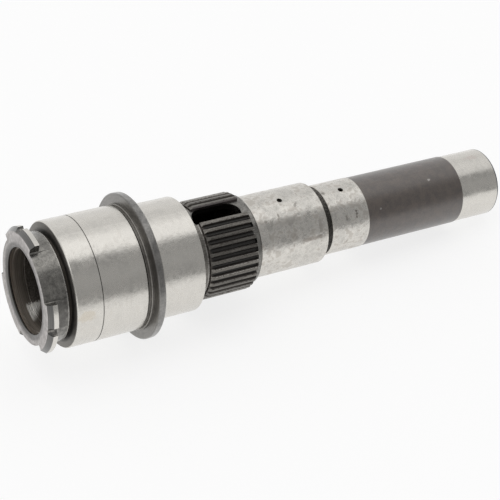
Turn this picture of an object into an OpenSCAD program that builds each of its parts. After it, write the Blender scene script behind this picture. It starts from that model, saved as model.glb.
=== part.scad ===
// Hollow gear shaft, turned and ground from one forging: ground bearing seats with relief
// grooves, a thrust collar, an external involute spline with an oil slot through its wall,
// oil holes, and a ring of bevelled bayonet lugs round the open front end.
// Millimetres. The shaft stands on its front face at z = 0, and its axis is +Z, towards the tail.
// Turn angles are degrees about +Z, and the oil slot looks along +X.

/* [Lugs and neck] */
// Number of lugs, each split in two by a notch
lug_count = 3; // [2:1:4]
// Diameter over the ground lands of the lugs
lug_d = 74.8; // [72:0.1:74.9]
// Diameter of the front face at the lugs, where their bevel starts
lug_face_d = 70; // [68.5:0.1:71]
// Height of the lugs, bevel included
lug_h = 5.6; // [4:0.1:8]
// Height of the ground land on each lug
lug_land_h = 2.8; // [1.5:0.1:3.5]
// Angle of the milled gap between two lugs
gap_angle = 55; // [30:1:60]
// Turn of the first gap from the oil slot
gap_turn = 32.5; // [-60:0.5:60]
// Diameter of the milled floor in the gaps
gap_floor_d = 63.5; // [63:0.1:63.9]
// Length of that floor, from the front face to where its slope has run out on the neck
gap_len = 12; // [9:0.1:13]
// Radius in the two corners of each gap floor
gap_corner = 1; // [0.4:0.1:2]
// Diameter of the half-round notch in each lug
notch_d = 6.1; // [4:0.1:8]
// Depth of the notch below the ground land
notch_depth = 2.8; // [1.5:0.1:3.2]
// Turn of the notch in the first lug from the middle of that lug
index_turn = 5; // [0:0.5:8]
// Diameter of the neck behind the lugs
neck_d = 64.6; // [64:0.1:65.5]
// Length of the neck, from the front face to its groove
neck_len = 14.4; // [11:0.1:20]
// Diameter of the floor of the neck groove
neck_groove_d = 60; // [59:0.1:62]
// Width of the neck groove
neck_groove_w = 2.2; // [1.5:0.1:4]

/* [Seats] */
// Diameter of the front bearing seat, behind the neck
front_seat_d = 75; // [75:0.1:78]
// Length of the front bearing seat
front_seat_len = 44.2; // [36:0.1:60]
// Bevel on the front edge of the front seat
front_bevel = 0.8; // [0.3:0.1:1.5]
// Distance from the front edge of the front seat to the line turned round it
line_at = 16.2; // [6:0.1:28]
// Width of that line
line_w = 0.5; // [0.3:0.1:1.2]
// Depth of that line
line_depth = 0.3; // [0.1:0.05:0.6]
// Diameter of the second seat, behind the collar
second_seat_d = 69.85; // [66:0.05:72]
// Length from the collar to the far end of the second seat
second_seat_len = 30.3; // [20:0.1:45]
// Diameter of the third seat, behind the spline
third_seat_d = 50.8; // [48:0.1:54]
// Length of the third seat
third_seat_len = 47.3; // [36:0.1:60]
// Diameter of the fourth seat
fourth_seat_d = 44.45; // [44:0.05:47]
// Length of the fourth seat
fourth_seat_len = 26.7; // [20:0.1:40]
// Diameter of the black stretch between the fourth seat and the tail seat
bare_d = 43.9; // [42:0.1:44.4]
// Length of the black stretch
bare_len = 72; // [40:0.5:110]
// Diameter of the tail seat
tail_seat_d = 43.3; // [40:0.1:44]
// Length of the tail seat
tail_seat_len = 29.2; // [20:0.1:45]
// Bevel round the tail end
tail_bevel = 1; // [0.4:0.1:2]
// Broken edge on every ground seat
edge_break = 0.4; // [0.1:0.1:0.6]

/* [Reliefs] */
// Depth of a grinding relief below its own seat
relief_depth = 0.6; // [0.3:0.1:1]
// Width of the relief between the front seat and the collar step
front_relief_w = 1.8; // [1.2:0.1:3]
// Width of the relief between the collar and the second seat
second_relief_w = 2.5; // [1.5:0.1:4]
// Width of the relief between the spline land and the third seat
third_relief_w = 1.4; // [1:0.1:3]
// Width of the relief between the third and the fourth seat
fourth_relief_w = 5.2; // [3:0.1:7]

/* [Collar] */
// Diameter of the thrust collar
collar_d = 88; // [84:0.5:96]
// Thickness of the thrust collar
collar_t = 4.4; // [3:0.1:8]
// Diameter of the small step on the front face of the collar
collar_step_d = 76; // [76:0.1:80]
// Height of that step above the collar face
collar_step_h = 1.7; // [1:0.1:3]
// Broken edge round the collar rim
collar_edge = 0.6; // [0.2:0.1:1.2]

/* [Spline] */
// Number of teeth round the spline
spline_teeth = 37; // [34:1:37]
// Module of the spline, its pitch diameter divided by its number of teeth
spline_module = 1.5875; // [1.5:0.0125:1.6]
// Pressure angle of the involute flanks
spline_pressure = 30; // [20:0.5:30]
// Length of the spline
spline_len = 31.6; // [26:0.1:45]
// Length of the bevel on the front ends of the teeth
tooth_bevel_len = 2.2; // [1:0.1:4]
// How far that bevel drops below the tooth tips
tooth_bevel_drop = 1.3; // [0.5:0.1:1.7]
// Broken edge on the far ends of the teeth
tooth_edge = 0.5; // [0.2:0.1:1]
// Width of the groove between the second seat and the spline
groove_w = 6.4; // [4:0.1:9]
// Diameter of the floor of that groove
groove_d = 56; // [53:0.1:56.4]
// Diameter of the plain land behind the teeth, where the spline runs out
land_d = 55.6; // [53:0.1:56.4]
// Length of that land
land_len = 3.2; // [2:0.1:6]

/* [Oil slot and holes] */
// Width of the oil slot through the spline wall, and of the pad that it stands in
slot_w = 12; // [10:0.1:12.4]
// Length of the oil slot
slot_len = 32; // [22:0.1:33]
// Radius of the two ends of the slot, which lean to one side where it is more than half the width
slot_end_r = 9; // [6.5:0.1:10]
// Distance from the oil slot to the far end of the spline
slot_end = 2.5; // [2:0.1:6]
// Diameter of the pad along the slot, where two teeth are milled away
pad_d = 56.1; // [56.1:0.05:56.5]
// Diameter of the two oil holes
oil_hole_d = 3.4; // [2:0.1:5]
// Turn of the oil holes from the middle of the slot
oil_hole_turn = 0; // [-20:0.5:20]
// Distance from the front end of the third seat to its oil hole
third_hole_at = 21.8; // [10:0.1:30]
// Distance from the front end of the fourth seat to its oil hole
fourth_hole_at = 13.9; // [6:0.1:18]

/* [Bore] */
// Diameter of the front face at the mouth, where its bevel starts
mouth_face_d = 53.8; // [52.5:0.1:55]
// Diameter of the bore at the mouth
mouth_bore_d = 51.4; // [50.4:0.1:52]
// Depth of the bevel at the mouth
mouth_bevel = 0.8; // [0.4:0.1:1.2]
// Diameter of the retaining ring groove in the mouth
ring_groove_d = 54; // [53:0.1:56]
// Depth of the ring groove behind the front face
ring_groove_at = 1.7; // [1.5:0.1:3]
// Width of the ring groove
ring_groove_w = 1.7; // [1.2:0.1:2.4]
// Diameter of the rough lead behind the ring groove
lead_bore_d = 49; // [48.6:0.1:50]
// Depth of the lead behind the front face
lead_depth = 10; // [7:0.1:14]
// Diameter of the front bore, which runs on inside the spline
front_bore_d = 48; // [44:0.1:48.2]
// How far the front bore runs on past the oil slot
front_bore_past = 0.8; // [0.5:0.1:1.2]
// Diameter of the main bore, inside the third seat
main_bore_d = 32; // [26:0.5:36]
// Distance from the floor of the main bore to the far end of the third seat
main_bore_end = 12; // [4:0.5:20]
// Diameter of the tail bore, right through to the tail face
tail_bore_d = 22; // [12:0.5:24]
// Bevel at the mouth of the tail bore
tail_bore_bevel = 0.8; // [0.3:0.1:1.5]
// Slant of the cone on the floor of each bore, measured from the axis
bore_floor_angle = 59; // [45:1:75]

/* [Hidden] */
$fn = 144;
steel = [0.74, 0.73, 0.71];
// overrun of every cut past the surface it opens
over = 1;
flank_steps = 4;
root_steps = 6;
corner_steps = 5;

// heights of the shoulders, from the front face towards the tail
front_z = neck_len + neck_groove_w;
front_end_z = front_z + front_seat_len;
step_z = front_end_z + front_relief_w;
collar_z = step_z + collar_step_h;
second_z = collar_z + collar_t;
groove_z = second_z + second_seat_len;
spline_z = groove_z + groove_w;
land_z = spline_z + spline_len;
third_relief_z = land_z + land_len;
third_z = third_relief_z + third_relief_w;
fourth_relief_z = third_z + third_seat_len;
fourth_z = fourth_relief_z + fourth_relief_w;
bare_z = fourth_z + fourth_seat_len;
tail_z = bare_z + bare_len;
shaft_len = tail_z + tail_seat_len;

// involute spline, with the half-module addendum of a fillet-root spline
pitch_r = spline_teeth * spline_module / 2;
tip_r = pitch_r + spline_module / 2;
form_r = pitch_r - spline_module / 2;
root_r = pitch_r - spline_module * 0.675;
base_r = pitch_r * cos(spline_pressure);
tooth_step = 360 / spline_teeth;

// roll of the involute at radius r: the angle its flank has turned from the base circle
function flank_turn(r) = let (a = acos(base_r / r)) tan(a) * 180 / PI - a;

// angle from the middle of a tooth space to its flank at radius r
function space_half_angle(r) = tooth_step / 4 - flank_turn(pitch_r) + flank_turn(r);

// the point at radius r and angle a
function polar(r, a) = [r * cos(a), r * sin(a)];

// one flank of a tooth space, from radius r0 to radius r1, on the side given by sign
function flank(r0, r1, sign) = [
    for (i = [0 : flank_steps])
        let (r = r0 + (r1 - r0) * i / flank_steps)
            polar(r, sign * space_half_angle(r))
];

// round root between the two flanks: an arc through both form points and the root point
function root_arc() =
    let (
        form = polar(form_r, space_half_angle(form_r)),
        rise = form[0] - root_r,
        radius = (rise * rise + form[1] * form[1]) / (2 * rise),
        half = atan2(form[1], radius - rise)
    )
    [
        for (i = [1 : root_steps - 1])
            let (a = half - 2 * half * i / root_steps)
                [root_r + radius * (1 - cos(a)), radius * sin(a)]
    ];

// outline of a turned seat from height z0 to z1, with a broken edge at either end
function seat(d, z0, z1, edge0, edge1) = [
    [d / 2 - edge0, z0],
    [d / 2, z0 + edge0],
    [d / 2, z1 - edge1],
    [d / 2 - edge1, z1]
];

// outline of a straight turned stretch
function turned(d, z0, z1) = [[d / 2, z0], [d / 2, z1]];

// axial length of the cone that closes a bore of diameter d down to diameter e
function floor_len(d, e) = (d - e) / 2 / tan(bore_floor_angle);

module shaft_profile() {
    line_z = front_z + line_at;
    second_seat_z = second_z + second_relief_w;
    ring_z = ring_groove_at + ring_groove_w;
    front_bore_z = land_z - slot_end + front_bore_past;
    main_bore_z = fourth_relief_z - main_bore_end;
    polygon(concat(
        [
            [lug_face_d / 2, 0],
            [lug_d / 2, lug_h - lug_land_h],
            [lug_d / 2, lug_h]
        ],
        seat(neck_d, lug_h, neck_len, 0, edge_break),
        turned(neck_groove_d, neck_len, front_z),
        seat(front_seat_d, front_z, line_z - line_w / 2, front_bevel, 0),
        turned(front_seat_d - 2 * line_depth, line_z - line_w / 2, line_z + line_w / 2),
        seat(front_seat_d, line_z + line_w / 2, front_end_z, 0, edge_break),
        turned(front_seat_d - 2 * relief_depth, front_end_z, step_z),
        seat(collar_step_d, step_z, collar_z, edge_break, 0),
        seat(collar_d, collar_z, second_z, collar_edge, collar_edge),
        turned(second_seat_d - 2 * relief_depth, second_z, second_seat_z),
        seat(second_seat_d, second_seat_z, groove_z, edge_break, edge_break),
        turned(groove_d, groove_z, spline_z),
        [
            [tip_r - tooth_bevel_drop, spline_z],
            [tip_r, spline_z + tooth_bevel_len],
            [tip_r, land_z - tooth_edge],
            [tip_r - tooth_edge, land_z]
        ],
        turned(land_d, land_z, third_relief_z),
        turned(third_seat_d - 2 * relief_depth, third_relief_z, third_z),
        seat(third_seat_d, third_z, fourth_relief_z, edge_break, edge_break),
        turned(fourth_seat_d - 2 * relief_depth, fourth_relief_z, fourth_z),
        seat(fourth_seat_d, fourth_z, bare_z, edge_break, 0),
        turned(bare_d, bare_z, tail_z),
        seat(tail_seat_d, tail_z, shaft_len, 0, tail_bevel),
        [
            [tail_bore_d / 2 + tail_bore_bevel, shaft_len],
            [tail_bore_d / 2, shaft_len - tail_bore_bevel],
            [tail_bore_d / 2, main_bore_z + floor_len(main_bore_d, tail_bore_d)],
            [main_bore_d / 2, main_bore_z],
            [main_bore_d / 2, front_bore_z + floor_len(front_bore_d, main_bore_d)],
            [front_bore_d / 2, front_bore_z],
            [front_bore_d / 2, lead_depth + floor_len(lead_bore_d, front_bore_d)],
            [lead_bore_d / 2, lead_depth],
            [lead_bore_d / 2, ring_z],
            [ring_groove_d / 2, ring_z],
            [ring_groove_d / 2, ring_groove_at],
            [mouth_bore_d / 2, ring_groove_at],
            [mouth_bore_d / 2, mouth_bevel],
            [mouth_face_d / 2, 0]
        ]
    ));
}

// one tooth space, cut from the front groove right along the spline to its land
module tooth_space() {
    open_r = tip_r + over;
    rim = space_half_angle(tip_r);
    translate([0, 0, spline_z - over])
        linear_extrude(spline_len + over)
            polygon(concat(
                [polar(open_r, rim)],
                [for (i = [flank_steps : -1 : 0]) flank(form_r, tip_r, 1)[i]],
                root_arc(),
                flank(form_r, tip_r, -1),
                [polar(open_r, -rim)]
            ));
}

// all the tooth spaces, with a space in line with the slot
module tooth_spaces() {
    for (i = [0 : spline_teeth - 1])
        rotate(i * tooth_step)
            tooth_space();
}

// slot from the bore out through the spline wall, its large round ends cut off at one side
module oil_slot() {
    near_z = land_z - slot_end - slot_len + slot_end_r;
    far_z = land_z - slot_end - slot_end_r;
    inner_x = tail_bore_d / 4;
    depth = tip_r + over - inner_x;
    low_y = -slot_w / 2;
    intersection() {
        union() {
            for (z = [near_z, far_z])
                translate([inner_x, low_y + slot_end_r, z])
                    rotate([0, 90, 0])
                        cylinder(h = depth, r = slot_end_r);
            translate([inner_x, low_y, near_z])
                cube([depth, 2 * slot_end_r, far_z - near_z]);
        }
        translate([0, low_y - over, groove_z])
            cube([tip_r + 2 * over, slot_w + over, third_z - groove_z]);
    }
}

// pad along the slot, where two teeth are milled away from the front groove to the land
module slot_pad() {
    inner_x = tail_bore_d / 4;
    length = spline_len + 2 * over;
    difference() {
        translate([inner_x, -slot_w / 2, spline_z - over])
            cube([tip_r + over - inner_x, slot_w, length]);
        translate([0, 0, spline_z - 2 * over])
            cylinder(h = length + 2 * over, d = pad_d);
    }
}

// one radial oil hole from the bore out through a seat
module oil_hole(z, seat_d) {
    rotate(oil_hole_turn)
        translate([0, 0, z])
            rotate([0, 90, 0])
                cylinder(h = seat_d / 2 + over, d = oil_hole_d);
}

// one side of a gap: the rounded corner on its floor and the straight side beyond, at the turn
// given by sign
function gap_side(sign) =
    let (
        middle_r = gap_floor_d / 2 + gap_corner,
        middle_a = gap_angle / 2 - asin(gap_corner / middle_r),
        sweep = gap_angle / 2 - middle_a - 90
    )
    [
        polar(gap_floor_d / 2 - gap_corner, sign * middle_a),
        for (i = [1 : corner_steps])
            let (
                a = middle_a + 180 + sweep * i / corner_steps,
                p = polar(middle_r, middle_a) + polar(gap_corner, a)
            )
                [p[0], sign * p[1]],
        polar(lug_d / cos(gap_angle / 2), sign * gap_angle / 2)
    ];

// one milled gap between two lugs, run out on the neck
module lug_gap() {
    difference() {
        translate([0, 0, -over])
            linear_extrude(gap_len + over)
                polygon(concat(gap_side(1), [for (i = [corner_steps + 1 : -1 : 0]) gap_side(-1)[i]]));
        translate([0, 0, -2 * over])
            cylinder(h = lug_h + 2 * over, d = gap_floor_d);
        translate([0, 0, lug_h])
            cylinder(h = 2 * (gap_len - lug_h), d1 = gap_floor_d, d2 = 2 * neck_d - gap_floor_d);
    }
}

module lug_gaps() {
    for (i = [0 : lug_count - 1])
        rotate(gap_turn + i * 360 / lug_count)
            lug_gap();
}

// half-round notch in each lug, the first one set off to one side to index the ring
module lug_notches() {
    for (i = [0 : lug_count - 1]) {
        middle = gap_turn + (i + 0.5) * 360 / lug_count;
        shift = i == 0 ? -index_turn : 0;
        rotate(middle + shift)
            translate([lug_d / 2 - notch_depth + notch_d / 2, 0, -over])
                cylinder(h = lug_h + 2 * over, d = notch_d);
    }
}

module gear_shaft() {
    color(steel)
        difference() {
            rotate_extrude()
                shaft_profile();
            tooth_spaces();
            oil_slot();
            slot_pad();
            oil_hole(third_z + third_hole_at, third_seat_d);
            oil_hole(fourth_z + fourth_hole_at, fourth_seat_d);
            lug_gaps();
            lug_notches();
        }
}

gear_shaft();
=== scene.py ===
"""Gear shaft in its finishes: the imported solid, dressed, on a pale floor under soft studio light.

Metres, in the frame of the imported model: the shaft stands on its front face at z = 0 and its axis
is +Z. The photograph shows it lying down, so the floor of this scene is the tilted plane that the
collar and the tail would lie on, and the camera is turned to match.

The finishes are laid out in millimetres, by the height z along the axis, the radius r, and the
turn round the axis in degrees from +X.
"""
import logging
import math
from dataclasses import dataclass
from enum import Enum
from functools import reduce
from typing import Any

import bpy
from mathutils import Matrix, Vector

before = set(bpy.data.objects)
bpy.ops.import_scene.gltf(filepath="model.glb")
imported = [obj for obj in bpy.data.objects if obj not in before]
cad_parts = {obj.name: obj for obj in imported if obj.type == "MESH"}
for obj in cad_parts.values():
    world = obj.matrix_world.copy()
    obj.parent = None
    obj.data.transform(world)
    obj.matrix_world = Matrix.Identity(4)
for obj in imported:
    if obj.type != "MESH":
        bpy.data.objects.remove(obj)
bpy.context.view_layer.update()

NODE = "gear_shaft"
MM_PER_METRE = 1000.0
AXIS = (0.0, 0.0, 1.0)
WHITE = (1.0, 1.0, 1.0)
Colour = tuple[float, float, float]
Place = tuple[float, float, float]
Ends = tuple[float, float]
log = logging.getLogger("gear_shaft")

# Width in millimetres over which one finish gives way to the next.
SHARP = 0.1
# Radii between which the inside of the rear half gives way to its outside.
OUTSIDE = (19.0, 20.0)
# Roughness and refraction of the thin film on the dark stretches.
FILM_ROUGH = 0.36
FILM_IOR = 1.9


class Texture(Enum):
    """The ways in which a pattern is laid on the shaft."""

    LUMPS = "lumps"
    TURNED = "turned"
    DRAWN = "drawn"


class Wire:
    """One output socket of a shader node, with arithmetic that adds Math nodes."""

    def __init__(self, sheet: "ShaderSheet", socket: bpy.types.NodeSocket) -> None:
        """Keeps the socket and the sheet that new nodes are drawn on."""
        self.sheet = sheet
        self.socket = socket

    def _math(self, operation: str, *values: Any) -> "Wire":
        """Adds one Math node.

        Args:
            operation: the node's operation.
            values: its inputs, wires or numbers.

        Returns:
            The wire of its result.
        """
        return self.sheet.node("ShaderNodeMath", {"operation": operation}, dict(enumerate(values)))

    def __add__(self, other: Any) -> "Wire":
        """Sum."""
        return self._math("ADD", self, other)

    def __radd__(self, other: Any) -> "Wire":
        """Sum, reflected."""
        return self._math("ADD", other, self)

    def __sub__(self, other: Any) -> "Wire":
        """Difference."""
        return self._math("SUBTRACT", self, other)

    def __rsub__(self, other: Any) -> "Wire":
        """Difference, reflected."""
        return self._math("SUBTRACT", other, self)

    def __mul__(self, other: Any) -> "Wire":
        """Product."""
        return self._math("MULTIPLY", self, other)

    def __rmul__(self, other: Any) -> "Wire":
        """Product, reflected."""
        return self._math("MULTIPLY", other, self)

    def __truediv__(self, other: Any) -> "Wire":
        """Quotient."""
        return self._math("DIVIDE", self, other)

    def __pow__(self, other: Any) -> "Wire":
        """Power."""
        return self._math("POWER", self, other)

    def __abs__(self) -> "Wire":
        """Size without sign."""
        return self._math("ABSOLUTE", self)

    def least(self, other: Any) -> "Wire":
        """The smaller of the two."""
        return self._math("MINIMUM", self, other)

    def most(self, other: Any) -> "Wire":
        """The larger of the two."""
        return self._math("MAXIMUM", self, other)

    def rise(self, low: float, high: float) -> "Wire":
        """Smooth step.

        Args:
            low: the value at which the result is 0.
            high: the value at which the result is 1; it may lie below low.

        Returns:
            The wire of the step.
        """
        turned = low > high
        ends = {1: high, 2: low} if turned else {1: low, 2: high}
        step = self.sheet.node(
            "ShaderNodeMapRange", {"interpolation_type": "SMOOTHSTEP"}, {0: self, **ends}
        )
        return 1.0 - step if turned else step

    def within(self, ends: Ends | None) -> "Wire":
        """Smooth step between two ends, or the value as it is where there are none."""
        return self if ends is None else self.rise(*ends)

    def band(self, low: float, high: float, soft: float = SHARP) -> "Wire":
        """Mask that is 1 between two values.

        Args:
            low: lower end.
            high: upper end.
            soft: width over which the mask fades, half of it on each side of an end.

        Returns:
            The wire of the mask.
        """
        half = soft / 2
        return self.rise(low - half, low + half) * self.rise(high + half, high - half)


class ShaderSheet:
    """The node tree of one material or of the world."""

    def __init__(self, tree: bpy.types.NodeTree) -> None:
        """Takes a tree and clears it."""
        self.tree = tree
        tree.nodes.clear()

    def node(
        self,
        kind: str,
        settings: dict[str, Any] | None = None,
        values: dict[Any, Any] | None = None,
        output: Any = 0,
    ) -> Wire | None:
        """Adds any node.

        Args:
            kind: the node's type.
            settings: its properties, which are set first.
            values: numbers, colours or wires for its input sockets, by name or index.
            output: the output socket to return, by name or index, or None where there is none.

        Returns:
            The wire of that output, or None.
        """
        made = self.tree.nodes.new(kind)
        for name, value in (settings or {}).items():
            setattr(made, name, value)
        for name, value in (values or {}).items():
            socket = made.inputs[name]
            if isinstance(value, Wire):
                self.tree.links.new(value.socket, socket)
            elif isinstance(value, tuple) and len(socket.default_value) == 4:
                socket.default_value = (*value, 1.0)
            else:
                socket.default_value = value
        return None if output is None else Wire(self, made.outputs[output])

    def blend(self, factor: Any, first: Any, second: Any) -> Wire:
        """Mixes two colours.

        Args:
            factor: 0 gives the first, 1 the second.
            first: colour or wire.
            second: colour or wire.

        Returns:
            The wire of the mixed colour.
        """
        return self.node(
            "ShaderNodeMix", {"data_type": "RGBA"}, {0: factor, 6: first, 7: second}, output=2
        )

    def scale(self, vector: Any, amount: Any) -> Wire:
        """Multiplies a colour or a place by a number or a wire."""
        return self.node(
            "ShaderNodeVectorMath", {"operation": "SCALE"}, {0: vector, "Scale": amount}
        )

    def reach(self, vector: Wire, way: Vector) -> Wire:
        """Measures how far a vector goes along a direction."""
        return self.node(
            "ShaderNodeVectorMath", {"operation": "DOT_PRODUCT"}, {0: vector, 1: way}, output=1
        )

    def close(self, kind: str, shader: Wire) -> None:
        """Adds the tree's output node.

        Args:
            kind: the type of the output node.
            shader: what goes into its surface.
        """
        self.node(kind, values={"Surface": shader}, output=None)


@dataclass(frozen=True)
class Camera:
    """The camera of the photograph, in metres and in the frame of the standing shaft."""

    place: Place = (0.61019, 0.55523, -0.26561)
    right: Place = (0.163322, 0.467454, 0.8688)
    up: Place = (0.72624, -0.653012, 0.214827)
    back: Place = (0.667759, 0.595871, -0.446135)
    lens_mm: float = 108.744
    sensor_mm: float = 36.0
    nearest: float = 0.01
    farthest: float = 20.0

    def set_up(self) -> bpy.types.Object:
        """Makes the camera and gives it to the scene.

        Returns:
            The camera object.
        """
        data = bpy.data.cameras.new("studio_camera")
        data.lens = self.lens_mm
        data.sensor_width = self.sensor_mm
        data.clip_start = self.nearest
        data.clip_end = self.farthest
        camera = bpy.data.objects.new("studio_camera", data)
        bpy.context.scene.collection.objects.link(camera)
        turn = Matrix((self.right, self.up, self.back)).transposed()
        camera.matrix_world = Matrix.Translation(self.place) @ turn.to_4x4()
        bpy.context.scene.camera = camera
        return camera


@dataclass(frozen=True)
class Studio:
    """Pale floor that the lying shaft rests on, and the soft light round it.

    Lengths are in metres. The light changes with the turn round the shaft's axis, in degrees from
    straight overhead towards the camera.
    """

    up: Place = (0.97974, -0.18032, -0.08716)
    floor_level: float = -0.04963
    floor_front: float = 0.50
    floor_back: float = 2.0
    floor_half_length: float = 2.0
    floor_cells: int = 8
    floor_glow: float = 0.785
    floor_paint: float = 0.25
    mirrored_to: Ends = (0.18, 0.22)
    page: float = 0.982
    overhead: float = 1.18
    overhead_back: Ends = (-33.0, -7.0)
    overhead_front: Ends = (23.2, 18.2)
    tail_fade: float = 0.38
    tail_fade_ends: Ends = (0.38, 0.60)
    wall: float = 0.86
    wall_dip: float = 0.10
    wall_dip_ends: Ends = (-56.0, -20.0)
    wall_dip_soft: float = 10.0
    room: float = 0.345
    room_ends: Ends = (20.7, 104.0)
    room_soft: float = 6.0
    room_middle: float = 0.05
    room_middle_ends: Ends = (46.0, 76.0)
    room_middle_soft: float = 20.0

    def _across(self) -> Vector:
        """Level direction across the shaft, towards the camera."""
        across = Vector(self.up).cross(Vector(AXIS)).normalized()
        return across if across.dot(Vector(Camera().place)) > 0 else -across

    def floor(self) -> bpy.types.Object:
        """Builds the floor: white, keeping a faint shadow, and clear from below.

        Returns:
            The floor object.
        """
        up = Vector(self.up)
        across = self._across()
        along = up.cross(across)
        depth = self.floor_front + self.floor_back
        bpy.ops.object.select_all(action="DESELECT")
        bpy.ops.mesh.primitive_grid_add(
            x_subdivisions=self.floor_cells, y_subdivisions=self.floor_cells, size=1.0
        )
        floor = bpy.context.object
        floor.name = "studio_floor"
        floor.scale = (depth, 2 * self.floor_half_length, 1.0)
        bpy.ops.object.transform_apply(location=False, rotation=False, scale=True)
        turn = Matrix((across, along, up)).transposed().to_4x4()
        middle = up * self.floor_level + across * (self.floor_front - depth / 2)
        floor.data.transform(Matrix.Translation(middle) @ turn)
        floor.data.materials.append(self._paper())
        return floor

    def _paper(self) -> bpy.types.Material:
        """Makes the floor's material.

        It is clear from below, and its near part isn't mirrored in the steel, which shows the
        dimmer room there.

        Returns:
            The material.
        """
        material = bpy.data.materials.new("studio_paper")
        material.use_nodes = True
        sheet = ShaderSheet(material.node_tree)
        seen = sheet.node("ShaderNodeLightPath", output="Is Camera Ray")
        glossy = sheet.node("ShaderNodeLightPath", output="Is Glossy Ray")
        through = sheet.node("ShaderNodeLightPath", output="Is Transmission Ray")
        strength = (seen + glossy + through).least(1.0) * self.floor_glow
        glow = sheet.node("ShaderNodeEmission", values={0: WHITE, 1: strength})
        paint = sheet.node("ShaderNodeBsdfDiffuse", values={0: (self.floor_paint,) * 3})
        lit = sheet.node("ShaderNodeAddShader", values={0: glow, 1: paint})
        clear = sheet.node("ShaderNodeBsdfTransparent")
        below = sheet.node("ShaderNodeNewGeometry", output="Backfacing")
        at = sheet.node("ShaderNodeTexCoord", output="Object")
        unseen = glossy * sheet.reach(at, self._across()).rise(*self.mirrored_to)
        either = sheet.node("ShaderNodeMixShader", values={0: below.most(unseen), 1: lit, 2: clear})
        sheet.close("ShaderNodeOutputMaterial", either)
        return material

    def light(self) -> bpy.types.World:
        """Sets the world: a long soft light overhead, pale walls, and a dimmer room in front.

        Returns:
            The world.
        """
        world = bpy.data.worlds.new("studio")
        bpy.context.scene.world = world
        world.use_nodes = True
        sheet = ShaderSheet(world.node_tree)
        across = self._across()
        along = Vector(AXIS)
        over = along.cross(across)
        over = over if over.dot(Vector(self.up)) > 0 else -over
        way = sheet.node("ShaderNodeTexCoord", output="Generated")
        parts = {0: sheet.reach(way, across), 1: sheet.reach(way, over)}
        turn = sheet.node("ShaderNodeMath", {"operation": "ARCTAN2"}, parts) * math.degrees(1.0)
        tailward = sheet.reach(way, along).rise(*self.tail_fade_ends)
        lamp = self.overhead - tailward * (self.overhead * self.tail_fade)
        overhead = turn.rise(*self.overhead_back) * turn.rise(*self.overhead_front)
        middle = turn.band(*self.room_middle_ends, self.room_middle_soft)
        dim = self.room + middle * self.room_middle
        wall = self.wall - turn.band(*self.wall_dip_ends, self.wall_dip_soft) * self.wall_dip
        room = turn.band(*self.room_ends, self.room_soft)
        level = wall + room * (dim - wall) + overhead * (lamp - wall)
        seen = sheet.node("ShaderNodeLightPath", output="Is Camera Ray")
        strength = level + (self.page - level) * seen
        glow = sheet.node("ShaderNodeBackground", values={0: WHITE, 1: strength})
        sheet.close("ShaderNodeOutputWorld", glow)
        return world


@dataclass(frozen=True)
class Finish:
    """Plain values of one steel finish; a pattern may take the place of colour and roughness."""

    colour: Colour
    rough: float
    metal: float = 1.0
    film: float = 0.0


@dataclass(frozen=True)
class Tones:
    """Two colours, and the values of a pattern between which it runs from one to the other."""

    dark: Colour
    light: Colour
    ends: Ends | None = None

    def over(self, pattern: Wire) -> Wire:
        """Colours a pattern.

        Args:
            pattern: the wire of the pattern.

        Returns:
            The wire of the colour.
        """
        return pattern.sheet.blend(pattern.within(self.ends), self.dark, self.light)


@dataclass(frozen=True)
class Spread:
    """A number that grows with a pattern, a radius or a height, between two ends of it."""

    least: float
    more: float
    ends: Ends | None = None

    def over(self, pattern: Wire) -> Wire:
        """Follows a pattern.

        Args:
            pattern: the wire of the pattern.

        Returns:
            The wire of the number.
        """
        return self.least + pattern.within(self.ends) * self.more


@dataclass(frozen=True)
class Grain:
    """One noise pattern: its kind, size, octaves, shift, and the length of its streaks."""

    kind: Texture
    size: float
    detail: float
    seed: float
    along: float = 25.0


@dataclass(frozen=True)
class Mark:
    """One stain, pit, smear or patch of painted shade, by its height, its turn and its half sizes
    in millimetres.

    Its strength is 1 where it hides what is under it, and it climbs by lean for each millimetre
    across.
    """

    z: float
    turn: float
    high: float
    wide: float
    strength: float
    colour: Colour = (0.16, 0.14, 0.12)
    lean: float = 0.0


GROUND = Finish((0.70, 0.677, 0.632), 0.22)
TURNED_DARK = Finish((0.13, 0.125, 0.115), 0.34, 1.0, 1.0)
STEPPED = Finish((0.18, 0.173, 0.16), 0.4)
# Dark for the neck's groove and the relief between the rear seats: painted shade.
PAINTED_SHADE_ROOT = Finish((0.095, 0.083, 0.07), 0.5, 0.6)
SHADED = Finish((0.03, 0.027, 0.024), 0.5, 0.8)
FACED = Finish((0.44, 0.415, 0.40), 0.38)
SHOULDER = Finish((0.30, 0.285, 0.265), 0.5)
NECK = Finish((0.15, 0.145, 0.133), 0.28, 1.0, 0.4)
# Lighter edge at the end of the neck: a painted highlight, with wear.
NECK_LIP = Finish((0.50, 0.48, 0.445), 0.34, 1.0, 0.4)
TAIL_RIM = Finish((0.09, 0.095, 0.105), 0.5, 0.6)
# Near black for the spline's spaces, slot walls and groove ends: oily dark with painted shade.
OIL_AND_PAINTED_SHADE = Finish((0.02, 0.018, 0.016), 0.42, 0.8, 0.25)
GROOVE_FLOOR = Finish((0.45, 0.43, 0.40), 0.36, 1.0, 0.4)
FLANK = Finish((0.085, 0.073, 0.065), 0.4, 0.9, 0.2)
PAD_SIDE = Finish((0.17, 0.15, 0.148), 0.4, 0.9, 0.2)
CREST = Finish((0.40, 0.386, 0.36), 0.34)
GLINT = Finish((0.40, 0.386, 0.36), 0.3)
RELIEF = Finish((0.17, 0.157, 0.142), 0.28, 1.0, 0.4)
BLACKED = Finish((0.06, 0.047, 0.038), 0.34, 0.4, 1.0)
BORED = Finish((0.11, 0.098, 0.085), 0.45, 0.55)
BORE_RIM = Finish((0.14, 0.135, 0.128), 0.45, 1.0, 0.4)
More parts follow.
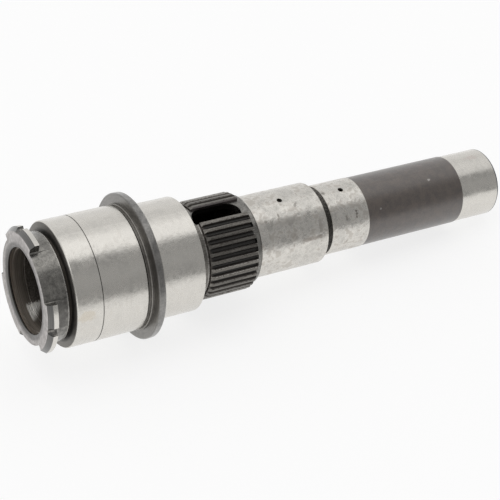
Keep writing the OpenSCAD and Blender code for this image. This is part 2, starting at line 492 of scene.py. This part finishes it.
# Dark over the step between lead and ground bore, like the painted shade round it.
BORE_SEAM = Finish((0.05, 0.043, 0.036), 0.45, 0.55)
BORE_GROUND = Finish((0.17, 0.15, 0.13), 0.36, 0.55)
# Pale, diffuse colour for a patch on the bore's far wall: a painted highlight.
PAINTED_HIGHLIGHT = Finish((0.62, 0.60, 0.565), 0.36, 0.0)


class Coat:
    """The finish of the whole shaft, built up zone over zone.

    A mark is laid only well out on its own side of the axis (MARK_SIDE, in millimetres). The noise
    moves its edge by MARK_RAGGED; the edge fades over MARK_EDGE, in parts of its size; and it adds
    MARK_DULLED to the roughness.
    """

    MARK_SIDE = (5.0, 10.0)
    MARK_RAGGED = 1.6
    MARK_EDGE = (1.15, 0.55)
    MARK_DULLED = 0.12

    def __init__(self, sheet: ShaderSheet, start: Finish) -> None:
        """Reads the place on the shaft and lays the first finish.

        Args:
            sheet: the material's node tree.
            start: the finish that everything begins with.
        """
        self.sheet = sheet
        at = sheet.node("ShaderNodeTexCoord", output="Object")
        self.place = sheet.scale(at, MM_PER_METRE)
        self.x, self.y, self.z = (
            sheet.node("ShaderNodeSeparateXYZ", values={0: self.place}, output=part)
            for part in range(3)
        )
        self.r = (self.x * self.x + self.y * self.y) ** 0.5
        self.colour: Any = sheet.node("ShaderNodeRGB")
        self.colour.socket.default_value = (*start.colour, 1.0)
        self.rough: Any = start.rough
        self.metal: Any = start.metal
        self.film: Any = start.film
        self.height: Any = 0.0

    def pattern(self, grain: Grain) -> Wire:
        """Adds a noise pattern.

        Args:
            grain: how it lies on the shaft, and its sizes.

        Returns:
            The wire of the pattern, about 0 to 1 with 0.5 in the middle.
        """
        size, seed, along = grain.size, grain.seed, grain.along
        if grain.kind is Texture.LUMPS:
            values = {0: self.place, 1: (seed, 3 * seed, -seed)}
            moved = self.sheet.node("ShaderNodeVectorMath", {"operation": "ADD"}, values)
            values = {"Vector": moved, "Scale": 1 / size, "Detail": grain.detail}
            return self.sheet.node("ShaderNodeTexNoise", {}, values)
        if grain.kind is Texture.TURNED:
            parts = {0: self.r / size + seed, 1: self.z / size, 2: self.x / along}
            last = self.y / along
        else:
            parts = {0: self.x / size + seed, 1: self.y / size, 2: self.z / along}
            last = 0.0
        moved = self.sheet.node("ShaderNodeCombineXYZ", values=parts)
        values = {"Vector": moved, "W": last, "Scale": 1.0, "Detail": grain.detail}
        return self.sheet.node("ShaderNodeTexNoise", {"noise_dimensions": "4D"}, values)

    def patterns(self, *grains: Grain) -> tuple[Wire, ...]:
        """Adds several noise patterns.

        Args:
            grains: what they are.

        Returns:
            Their wires, in the same order.
        """
        return tuple(self.pattern(grain) for grain in grains)

    def turned(self, turn: float) -> tuple[Wire, Wire]:
        """Measures the place towards a turn round the axis, and across it.

        Args:
            turn: the turn in degrees.

        Returns:
            The wires of the two distances.
        """
        c, s = math.cos(math.radians(turn)), math.sin(math.radians(turn))
        return self.x * c + self.y * s, self.y * c - self.x * s

    def lay(self, mask: Wire, finish: Finish, colour: Any = None, rough: Any = None) -> None:
        """Lays a finish over what is there.

        Args:
            mask: where, 0 to 1.
            finish: its plain values.
            colour: a wire used for its colour, if that varies.
            rough: a wire used for its roughness, if that varies.
        """
        self.tinge(mask, finish.colour if colour is None else colour)
        new = finish.rough if rough is None else rough
        self.rough = self.rough + (new - self.rough) * mask
        self.metal = self.metal + (finish.metal - self.metal) * mask
        self.film = self.film + (finish.film - self.film) * mask

    def tinge(self, mask: Wire, colour: Any) -> None:
        """Lays a colour alone over what is there."""
        self.colour = self.sheet.blend(mask, self.colour, colour)

    def shade(self, amount: Wire) -> None:
        """Darkens or lightens what is there by a factor."""
        self.colour = self.sheet.scale(self.colour, amount)

    def dull(self, amount: Wire) -> None:
        """Adds to the roughness."""
        self.rough = self.rough + amount

    def raise_by(self, height: Wire) -> None:
        """Adds to the fine relief, in millimetres."""
        self.height = self.height + height

    def mark(self, mark: Mark, ragged: Wire) -> None:
        """Lays one stain, pit, smear or patch of painted shade, with a ragged edge.

        Args:
            mark: the mark.
            ragged: the noise that breaks its edge.
        """
        facing, side = self.turned(mark.turn)
        up = self.z - mark.z - side * mark.lean
        far = ((side / mark.wide) ** 2.0 + (up / mark.high) ** 2.0) ** 0.5
        spot = (far + (ragged - 0.5) * self.MARK_RAGGED).rise(*self.MARK_EDGE)
        spot = spot * facing.rise(*self.MARK_SIDE) * mark.strength
        self.tinge(spot, mark.colour)
        self.dull(spot * self.MARK_DULLED)


@dataclass(frozen=True)
class LugRing:
    """Open front end: ground face, bevelled lugs, neck and its groove, and the seat's shoulder."""

    face_skin: Ends = (0.06, 0.02)
    face_r: Ends = (34.75, 35.1)
    bevel_end: float = 2.8
    lug_r: Ends = (37.28, 37.38)
    lugs_end: float = 5.8
    neck_end: float = 14.4
    lip_height: float = 0.9
    groove_r: float = 32.0
    front: float = 16.6
    shoulder_height: float = 0.3
    shoulder_soft: float = 0.06
    cloud: Grain = Grain(Texture.LUMPS, 2.6, 4.0, 11.0)
    speck: Grain = Grain(Texture.LUMPS, 0.7, 2.0, 4.0)
    lines: Grain = Grain(Texture.TURNED, 0.30, 1.0, 5.0, 60.0)
    neck: Tones = Tones((0.11, 0.105, 0.096), (0.30, 0.288, 0.264), (0.30, 0.70))
    neck_rough: Spread = Spread(0.21, 0.10)
    neck_relief: float = 0.05
    ridges: Tones = Tones((0.035, 0.033, 0.03), (0.09, 0.086, 0.078), (0.35, 0.65))
    ridge_relief: float = 0.012
    face: Tones = Tones((0.36, 0.338, 0.325), (0.53, 0.505, 0.49), (0.3, 0.7))
    face_inner: Spread = Spread(0.44, 0.42, (27.8, 29.6))
    face_outer: Spread = Spread(0.0, 0.18, (31.0, 34.5))
    face_specks: Spread = Spread(0.86, 0.26, (0.35, 0.65))
    face_rough: Spread = Spread(0.30, 0.16)
    lip_specks: Spread = Spread(0.0, 0.9, (0.3, 0.5))
    shoulder: Tones = Tones((0.21, 0.20, 0.184), (0.38, 0.365, 0.34))
    shoulder_light: Spread = Spread(0.38, 0.44, (32.4, 34.2))
    # Dark patch on the neck's lower side: painted shade.
    lower_side_shade: Mark = Mark(9.0, 76.0, 5.6, 13.0, 0.6, (0.045, 0.042, 0.038))

    def dress(self, coat: Coat) -> None:
        """Lays the turned finishes of the front end.

        Args:
            coat: the shaft's coat.
        """
        cloud, speck, lines = coat.patterns(self.cloud, self.speck, self.lines)

        end = coat.z.rise(self.front + SHARP, self.front - SHARP)
        neck = self.neck.over(cloud * 0.5 + speck * 0.35 + lines * 0.15)
        coat.lay(end, NECK, neck, self.neck_rough.over(cloud))
        # A dark patch on the neck's lower side: painted shade.
        coat.mark(self.lower_side_shade, cloud)

        bevel = coat.z.rise(self.bevel_end + SHARP / 2, self.bevel_end - SHARP / 2)
        bevel = bevel * coat.r.rise(*self.face_r)
        coat.lay(bevel, TURNED_DARK, self.ridges.over(lines))
        coat.raise_by(bevel * lines * self.ridge_relief + end * (cloud - 0.5) * self.neck_relief)
        lugs = coat.z.band(self.bevel_end, self.lugs_end)
        coat.lay(lugs * coat.r.rise(*self.lug_r), GROUND)

        light = self.face_inner.over(coat.r) + self.face_outer.over(coat.r)
        light = light * self.face_specks.over(speck)
        tone = coat.sheet.scale(self.face.over(cloud), light)
        coat.lay(coat.z.rise(*self.face_skin), FACED, tone, self.face_rough.over(speck))

        # A lighter, speckled edge at the end of the neck: a painted highlight, with wear.
        lip = coat.z.band(self.neck_end - self.lip_height, self.neck_end - 0.02)
        lip = lip * coat.r.rise(self.groove_r, self.groove_r + 0.2)
        coat.lay(lip * self.lip_specks.over(speck), NECK_LIP)
        # Painted shade in the neck's groove.
        groove = coat.z.band(self.neck_end, self.front)
        coat.lay(groove * coat.r.rise(self.groove_r, self.groove_r - 0.3), PAINTED_SHADE_ROOT)

        soft = self.shoulder_soft
        shoulder = coat.z.band(self.front - soft, self.front + self.shoulder_height, soft)
        # The shoulder darkens towards the groove: painted shade in the corner.
        tone = coat.sheet.scale(self.shoulder.over(speck), self.shoulder_light.over(coat.r))
        coat.lay(shoulder, SHOULDER, tone)


@dataclass(frozen=True)
class Collar:
    """Thrust collar: turned faces and rim, with painted shade in the roots."""

    start: float = 60.8
    root_height: float = 0.5
    face: float = 64.3
    face_height: float = 0.3
    end: float = 68.7
    relief_end: float = 71.2
    root_r: float = 37.2
    step_r: float = 38.0
    rim_r: Ends = (43.5, 43.95)
    rings: Grain = Grain(Texture.TURNED, 0.4, 2.0, 8.0, 80.0)
    cloud: Grain = Grain(Texture.LUMPS, 4.0, 3.0, 6.0)
    speck: Grain = Grain(Texture.LUMPS, 0.9, 2.0, 7.0)
    step: Tones = Tones((0.16, 0.152, 0.14), (0.34, 0.325, 0.30), (0.3, 0.75))
    step_rough: Spread = Spread(0.34, 0.1)
    front: Tones = Tones((0.03, 0.027, 0.024), (0.12, 0.113, 0.103), (0.3, 0.75))
    front_rough: Spread = Spread(0.26, 0.1)
    rim: Tones = Tones((0.085, 0.081, 0.075), (0.25, 0.24, 0.224), (0.3, 0.7))
    ring_relief: Spread = Spread(0.006, 0.09)

    def dress(self, coat: Coat) -> None:
        """Lays the turned finish of the collar and the dark of its reliefs.

        Args:
            coat: the shaft's coat.
        """
        rings, cloud, speck = coat.patterns(self.rings, self.cloud, self.speck)
        turned = rings * 0.4 + speck * 0.4 + cloud * 0.3

        zone = coat.z.band(self.start, self.relief_end)
        coat.lay(zone, STEPPED, self.step.over(turned), self.step_rough.over(cloud))

        face = coat.z.band(self.face, self.face + self.face_height)
        face = face * coat.r.rise(self.step_r, self.step_r + 0.2)
        coat.lay(face, TURNED_DARK, self.front.over(turned), self.front_rough.over(cloud))

        rim = zone * coat.r.rise(*self.rim_r)
        coat.lay(rim, TURNED_DARK, self.rim.over(cloud * 0.5 + speck * 0.5))

        # Painted shade in the roots of the collar's reliefs.
        roots = coat.z.band(self.start, self.start + self.root_height)
        roots = roots.most(coat.z.band(self.end, self.relief_end))
        coat.lay(roots * coat.r.rise(self.root_r + SHARP, self.root_r - SHARP), SHADED)
        coat.raise_by(zone * (rings - 0.5) * self.ring_relief.over(face))


@dataclass(frozen=True)
class SplineBand:
    """The spline: near-black spaces, slot walls and groove ends (oily dark with painted shade),
    worn crests with painted glints, and the lighter pad and land round the slot.

    The ends of flank, crest and glint are heights over the tips of the teeth.
    """

    groove: float = 99.0
    groove_floor: Ends = (100.4, 104.7)
    start: float = 105.4
    bevel_end: float = 107.6
    bevel_slope: float = 0.59
    end: float = 137.0
    land_start: float = 136.6
    land_end: float = 140.2
    relief_end: float = 141.6
    outside: Ends = (20.0, 21.0)
    relief_r: Ends = (26.0, 25.6)
    root_r: float = 28.3
    tip_r: float = 30.16
    flank: Ends = (-1.5, -0.7)
    crest: Ends = (-0.26, -0.12)
    glint: Ends = (-0.42, -0.10)
    pad_x: Ends = (26.5, 27.0)
    pad_half: float = 6.0
    pad_side_x: Ends = (26.4, 26.9)
    pad_side_y: Ends = (-7.6, -5.8)
    pad_side_top: Ends = (-0.2, -0.4)
    cloud: Grain = Grain(Texture.LUMPS, 3.0, 3.0, 15.0)
    speck: Grain = Grain(Texture.LUMPS, 0.8, 2.0, 16.0)
    drawn: Grain = Grain(Texture.DRAWN, 0.5, 2.0, 3.0, 14.0)
    oiled_rough: Spread = Spread(0.36, 0.14)
    floor: Tones = Tones((0.28, 0.268, 0.247), (0.62, 0.60, 0.555))
    flank_rough: Spread = Spread(0.36, 0.1)
    wear_and_highlight: Tones = Tones((0.10, 0.093, 0.084), (0.25, 0.237, 0.217), (0.3, 0.7))
    glint_specks: Ends = (0.34, 0.52)
    milled: Tones = Tones((0.10, 0.096, 0.088), (0.27, 0.26, 0.24), (0.3, 0.7))

    def dress(self, coat: Coat) -> None:
        """Lays the dark, painted shade among the teeth, and the worn steel of the spline.

        Args:
            coat: the shaft's coat.
        """
        cloud, speck, drawn = coat.patterns(self.cloud, self.speck, self.drawn)

        zone = coat.z.band(self.groove, self.relief_end) * coat.r.rise(*self.outside)
        # Near black over the whole spline zone, left in the spaces, slot walls and groove ends:
        # oily dark with painted shade.
        coat.lay(zone, OIL_AND_PAINTED_SHADE, rough=self.oiled_rough.over(cloud))
        floor = coat.z.band(*self.groove_floor, 0.4) * zone
        floor = floor * coat.r.rise(self.root_r + 0.2, self.root_r - SHARP)
        coat.lay(floor, GROOVE_FLOOR, self.floor.over(speck))

        tip = self.tip_r - (self.bevel_end - coat.z).most(0.0) * self.bevel_slope
        above = coat.r - tip
        coat.lay(above.rise(*self.flank) * zone, FLANK, rough=self.flank_rough.over(cloud))
        wear_and_highlight = self.wear_and_highlight.over(drawn * 0.6 + speck * 0.4)
        coat.lay(above.rise(*self.crest) * zone, CREST, wear_and_highlight)
        coat.lay(above.band(*self.glint) * zone * speck.rise(*self.glint_specks), GLINT)

        land = coat.z.band(self.land_start, self.land_end) * zone
        pad = abs(coat.y).rise(self.pad_half + SHARP, self.pad_half - SHARP)
        pad = pad * coat.x.rise(*self.pad_x) * zone
        pad = pad * coat.r.rise(self.root_r + SHARP, self.root_r - SHARP / 2)
        coat.lay(land.most(pad), NECK, self.milled.over(cloud * 0.5 + speck * 0.5))
        relief = coat.z.band(self.land_end, self.relief_end) * coat.r.rise(*self.relief_r)
        coat.lay(relief * zone, RELIEF)

        side = coat.y.band(*self.pad_side_y, 0.2) * coat.x.rise(*self.pad_side_x)
        side = side * above.rise(*self.pad_side_top)
        coat.lay(side * coat.z.band(self.start, self.end, 0.4), PAD_SIDE)


@dataclass(frozen=True)
class Seats:
    """The ground bearing seats: their height ranges, and the wear, stains and marks on them.

    Each Spread here follows how worn a stretch is, and pit_amount how pitted.
    """

    ranges: tuple[Ends, ...] = (
        (16.6, 60.8),
        (71.2, 99.0),
        (141.6, 188.9),
        (194.1, 220.8),
        (292.8, 322.0),
    )
    worn: Ends = (141.6, 221.0)
    pitted: tuple[tuple[float, float, float], ...] = ((70.0, 77.5, 3.0), (95.0, 99.5, 2.0))
    line: float = 32.8
    line_half: float = 0.27
    line_soft: float = 0.06
    line_r: Ends = (30.0, 31.0)
    tail_rim: float = 320.5
    tail_rim_r: Ends = (20.0, 20.4)
    grain: Grain = Grain(Texture.TURNED, 0.55, 2.0, 0.0, 30.0)
    cloud: Grain = Grain(Texture.LUMPS, 7.0, 3.0, 21.0)
    haze: Grain = Grain(Texture.LUMPS, 2.6, 2.0, 33.0)
    pits: Grain = Grain(Texture.LUMPS, 0.8, 1.0, 2.0)
    dashes: Grain = Grain(Texture.TURNED, 0.9, 1.0, 12.0, 5.0)
    blotch_ends: Ends = (0.34, 0.66)
    blotch_tone: Spread = Spread(0.08, 0.20)
    fog_ends: Ends = (0.40, 0.60)
    fog_tone: Spread = Spread(0.05, 0.08)
    grain_tone: float = 0.12
    blotch_rough: float = 0.05
    fog_rough: float = 0.07
    worn_rough: float = 0.05
    stain: Colour = (0.31, 0.275, 0.238)
    stain_ends: Ends = (0.49, 0.60)
    stain_amount: Spread = Spread(0.10, 0.38)
    dash: Colour = (0.15, 0.135, 0.12)
    dash_ends: Ends = (0.66, 0.76)
    dash_haze: Ends = (0.42, 0.6)
    dash_amount: Spread = Spread(0.12, 0.12)
    pit: Colour = (0.10, 0.09, 0.08)
    pit_ends: Ends = (0.69, 0.77)
    pit_haze: Ends = (0.38, 0.6)
    pit_amount: Spread = Spread(0.20, 0.6)
    cloud_wave: Spread = Spread(0.16, 0.26)
    haze_wave: Spread = Spread(0.03, 0.07)
    grain_relief: float = 0.0035
    pit_relief: float = 0.02
    marks: tuple[Mark, ...] = (
        Mark(22.5, 78.0, 5.5, 4.0, 0.22, (0.55, 0.43, 0.25)),
        Mark(171.3, 13.3, 1.0, 1.9, 0.5, lean=-0.5),
        Mark(157.5, 23.3, 0.8, 1.9, 0.5),
        Mark(148.0, 28.3, 1.3, 1.1, 0.5),
        Mark(151.5, 33.0, 1.2, 2.0, 0.34),
        Mark(162.0, 34.0, 9.0, 2.6, 0.3, (0.33, 0.30, 0.27), 0.15),
        Mark(178.0, 66.0, 11.0, 1.5, 0.5, (0.24, 0.20, 0.17), 0.25),
        Mark(164.5, 57.3, 2.6, 3.6, 0.36, (0.3, 0.26, 0.22)),
        Mark(184.0, 52.0, 1.4, 6.0, 0.45, (0.3, 0.27, 0.24)),
        Mark(212.0, 42.3, 1.0, 0.9, 0.8),
        Mark(212.2, 47.0, 0.9, 0.8, 0.7),
        Mark(211.8, 51.5, 0.8, 1.0, 0.7),
        Mark(204.5, 50.0, 1.0, 1.6, 0.5),
        Mark(195.5, -0.7, 1.1, 1.6, 0.6),
        Mark(310.0, -5.7, 5.0, 2.5, 0.2, (0.55, 0.40, 0.37)),
    )

    def dress(self, coat: Coat) -> None:
        """Lays grinding grain, clouding, stains and pits on the seats.

        Args:
            coat: the shaft's coat.
        """
        grain, cloud, haze = coat.patterns(self.grain, self.cloud, self.haze)
        pits, dashes = coat.patterns(self.pits, self.dashes)
        worn = coat.z.band(*self.worn, 1.0)
        seat = reduce(Wire.most, (coat.z.band(low, high, 0.2) for low, high in self.ranges))
        seat = seat * coat.r.rise(*OUTSIDE)

        blotch = cloud.rise(*self.blotch_ends)
        fog = haze.rise(*self.fog_ends)
        uneven = (blotch - 0.5) * self.blotch_tone.over(worn)
        uneven = uneven + (fog - 0.5) * self.fog_tone.over(worn)
        coat.shade(1.0 + seat * (uneven + (grain - 0.5) * self.grain_tone))
        stain = (haze * 0.5 + cloud * 0.5).rise(*self.stain_ends)
        coat.tinge(stain * seat * self.stain_amount.over(worn), self.stain)
        rough = (fog - 0.4) * self.fog_rough + blotch * self.blotch_rough
        coat.dull(seat * (rough + worn * self.worn_rough))
        for mark in self.marks:
            coat.mark(mark, haze)

        dash = dashes.rise(*self.dash_ends) * seat * haze.rise(*self.dash_haze)
        coat.tinge(dash * self.dash_amount.over(worn), self.dash)
        pitted = reduce(Wire.most, (coat.z.band(*stretch) for stretch in self.pitted))
        pit = pits.rise(*self.pit_ends) * seat * haze.rise(*self.pit_haze)
        pit = pit * self.pit_amount.over(pitted)
        coat.tinge(pit, self.pit)

        wave = (cloud - 0.5) * self.cloud_wave.over(worn)
        wave = wave + (haze - 0.5) * self.haze_wave.over(worn)
        wave = wave + (grain - 0.5) * self.grain_relief
        coat.raise_by(seat * wave - pit * self.pit_relief)

        ring = coat.z.band(self.line - self.line_half, self.line + self.line_half, self.line_soft)
        coat.lay(ring * coat.r.rise(*self.line_r), NECK)
        rim = coat.z.rise(self.tail_rim, self.tail_rim + SHARP)
        coat.lay(rim * coat.r.rise(*self.tail_rim_r), TAIL_RIM)


@dataclass(frozen=True)
class BareStretch:
    """The blackened stretch before the tail seat, and the relief between the two rear seats in
    painted shade, lighter on its upper side.
    """

    start: float = 220.8
    end: float = 292.8
    relief_start: float = 188.9
    relief_end: float = 194.1
    relief_r: Ends = (22.1, 21.9)
    cloud: Grain = Grain(Texture.LUMPS, 5.0, 4.0, 40.0)
    fine: Grain = Grain(Texture.LUMPS, 0.8, 2.0, 42.0)
    black: Tones = Tones((0.052, 0.036, 0.027), (0.096, 0.069, 0.051), (0.38, 0.62))
    black_rough: Spread = Spread(0.40, 0.08)
    fine_relief: float = 0.30
    cloud_relief: float = 0.35
    root: Tones = Tones((0.018, 0.016, 0.014), (0.075, 0.070, 0.062), (0.4, 0.65))
    painted_light_on_top: Spread = Spread(1.0, 1.2, (8.0, 21.0))
    marks: tuple[Mark, ...] = (
        Mark(230.0, 48.3, 0.8, 0.7, 0.6, (0.5, 0.48, 0.45)),
        Mark(270.5, 20.3, 1.2, 0.9, 0.8, (0.5, 0.48, 0.45)),
        Mark(236.0, 40.3, 0.7, 1.2, 0.6, (0.02, 0.018, 0.015)),
        Mark(234.0, 44.3, 0.5, 0.8, 0.5, (0.02, 0.018, 0.015)),
    )

    def dress(self, coat: Coat) -> None:
        """Lays the black skin with its fine mottling and scuffs.

        Args:
            coat: the shaft's coat.
        """
        cloud, fine = coat.patterns(self.cloud, self.fine)
        outside = coat.r.rise(*OUTSIDE)

        zone = coat.z.band(self.start, self.end, 0.5) * outside
        tone = self.black.over(cloud * 0.6 + fine * 0.4)
        coat.lay(zone, BLACKED, tone, self.black_rough.over(cloud))
        mottle = (fine - 0.5) * self.fine_relief + (cloud - 0.5) * self.cloud_relief
        coat.raise_by(zone * mottle)
        for mark in self.marks:
            coat.mark(mark, fine)

        # The relief between the rear seats: painted shade, lit lighter on the upper side.
        relief = coat.z.band(self.relief_start, self.relief_end) * outside
        light = self.painted_light_on_top.over(coat.x * 0.9 - coat.y * 0.4)
        tone = coat.sheet.scale(self.root.over(fine), light)
        coat.lay(relief * coat.r.rise(*self.relief_r), PAINTED_SHADE_ROOT, tone)


@dataclass(frozen=True)
class Bore:
    """Inside of the shaft: mouth and lead darkening inwards in painted shade, ground bore with a
    painted highlight patch, and painted shade beyond.

    The painted highlight patch is set out round the turn highlight_turn, across it and along the
    axis.
    """

    mouth_skin: Ends = (0.04, 0.1)
    mouth_r: Ends = (27.2, 27.1)
    mouth_end: Ends = (12.0, 11.0)
    deep_r: Ends = (24.6, 24.4)
    front_end: Ends = (135.5, 134.5)
    deep_end: Ends = (140.0, 139.0)
    tail_start: Ends = (138.0, 139.0)
    tail_r: Ends = (19.5, 19.0)
    tail_end: Ends = (321.9, 321.0)
    rim_end: Ends = (1.65, 1.55)
    ring_groove: Ends = (1.6, 2.5)
    ring_groove_soft: float = 0.06
    seam: Ends = (9.8, 10.8)
    ground_ends: Ends = (10.2, 60.0)
    dark_ends: Ends = (60.0, 139.0)
    rings: Grain = Grain(Texture.TURNED, 0.7, 2.0, 17.0, 60.0)
    ridges: Grain = Grain(Texture.TURNED, 0.5, 1.0, 9.0, 7.0)
    speck: Grain = Grain(Texture.LUMPS, 0.8, 3.0, 19.0)
    lead: Tones = Tones((0.22, 0.19, 0.16), (0.40, 0.35, 0.30), (0.3, 0.7))
    lead_depth_shade: Spread = Spread(0.3, 0.7, (15.0, 3.0))
    ground: Tones = Tones((0.12, 0.104, 0.088), (0.22, 0.195, 0.17), (0.35, 0.7))
    ground_depth_shade: Spread = Spread(0.25, 0.75, (24.0, 10.0))
    wear_and_highlight: Tones = Tones((0.75, 0.72, 0.67), (1.0, 0.97, 0.92), (0.35, 0.65))
    ridge_relief: Spread = Spread(0.25, 0.7)
    highlight_turn: float = -165.7
    highlight_facing: Ends = (12.0, 14.0)
    highlight_across: Ends = (-8.5, 3.8)
    highlight_soft: float = 2.0
    highlight_ragged: float = 7.0
    highlight_start: Ends = (6.4, 7.4)
    highlight_end: Ends = (20.0, 14.0)
    highlight_end_ragged: float = 4.0
    highlight_slant: float = 0.8
    highlight_slant_from: float = 4.2

    def dress(self, coat: Coat) -> None:
        """Lays the dark of the bore with painted shade deeper in, its ground part, and a painted
        highlight on the far wall.

        Args:
            coat: the shaft's coat.
        """
        rings, ridges, speck = coat.patterns(self.rings, self.ridges, self.speck)
        front = coat.z.rise(*self.front_end)
        mouth = coat.r.rise(*self.mouth_r) * coat.z.rise(*self.mouth_end)
        mouth = mouth * coat.z.rise(*self.mouth_skin)
        deep = coat.r.rise(*self.deep_r) * coat.z.rise(*self.deep_end)
        tail = coat.r.rise(*self.tail_r) * coat.z.rise(*self.tail_start)
        tail = tail * coat.z.rise(*self.tail_end)
        inner = (front * mouth).most(deep)

        # The lead darkens deeper in: painted shade.
        tone = coat.sheet.scale(self.lead.over(rings), self.lead_depth_shade.over(coat.z))
        coat.lay(inner.most(tail), BORED, tone)
        coat.lay(coat.z.rise(*self.rim_end) * mouth, BORE_RIM)
        coat.lay(coat.z.band(*self.ring_groove, self.ring_groove_soft) * mouth, SHADED)
        # The step between lead and ground bore is laid as dark as the painted shade round it.
        coat.lay(coat.z.band(*self.seam) * mouth, BORE_SEAM)
        # The ground part darkens deeper in: painted shade.
        ground = deep * coat.z.band(*self.ground_ends, 0.2)
        tone = coat.sheet.scale(self.ground.over(speck), self.ground_depth_shade.over(coat.z))
        coat.lay(ground, BORE_GROUND, tone)

        # A pale, diffuse patch on the far wall of the bore: a painted highlight.
        facing, side = coat.turned(self.highlight_turn)
        across = side + (speck - 0.5) * self.highlight_ragged
        along = coat.z + (self.highlight_slant_from - side) * self.highlight_slant
        along = along + (speck - 0.5) * self.highlight_end_ragged
        highlight_patch = across.band(*self.highlight_across, self.highlight_soft) * facing.rise(*self.highlight_facing)
        highlight_patch = highlight_patch * coat.z.rise(*self.highlight_start) * along.rise(*self.highlight_end) * inner
        coat.lay(highlight_patch, PAINTED_HIGHLIGHT, self.wear_and_highlight.over(speck))
        coat.raise_by(ground.most(highlight_patch) * (ridges - 0.5) * self.ridge_relief.over(highlight_patch))

        coat.lay(deep * coat.z.band(*self.dark_ends, 2.0), SHADED)


@dataclass(frozen=True)
class GearShaft:
    """The whole shaft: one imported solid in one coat."""

    parts: tuple[Any, ...] = (
        LugRing(),
        Collar(),
        SplineBand(),
        Seats(),
        BareStretch(),
        Bore(),
    )

    def steel(self) -> bpy.types.Material:
        """Makes the shaft's material from the coats of its parts.

        Returns:
            The material.
        """
        material = bpy.data.materials.new("shaft_steel")
        material.use_nodes = True
        sheet = ShaderSheet(material.node_tree)
        coat = Coat(sheet, GROUND)
        for part in self.parts:
            part.dress(coat)
        bump = sheet.node(
            "ShaderNodeBump",
            values={"Height": coat.height, "Distance": 1.0 / MM_PER_METRE, "Strength": 1.0},
        )
        shader = sheet.node(
            "ShaderNodeBsdfPrincipled",
            values={
                "Base Color": coat.colour,
                "Roughness": coat.rough,
                "Metallic": coat.metal,
                "Coat Weight": coat.film,
                "Coat Roughness": FILM_ROUGH,
                "Coat IOR": FILM_IOR,
                "Normal": bump,
            },
        )
        sheet.close("ShaderNodeOutputMaterial", shader)
        return material

    def dress(self) -> bpy.types.Object:
        """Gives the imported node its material.

        Returns:
            The node's object.
        """
        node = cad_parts[NODE]
        node.material_slots[0].material = self.steel()
        return node


def main() -> None:
    """Builds the scene and reports each piece."""
    logging.basicConfig(level=logging.INFO, format="%(message)s")
    scene = bpy.context.scene
    scene.view_settings.view_transform = "Standard"
    camera = Camera().set_up()
    log.info("%s: lens %.1f mm", camera.name, camera.data.lens)
    studio = Studio()
    floor = studio.floor()
    log.info("%s: %d faces", floor.name, len(floor.data.polygons))
    log.info("%s: soft light", studio.light().name)
    node = GearShaft().dress()
    log.info("%s: %d faces, %s", node.name, len(node.data.polygons), node.active_material.name)


if __name__ == "__main__":
    main()
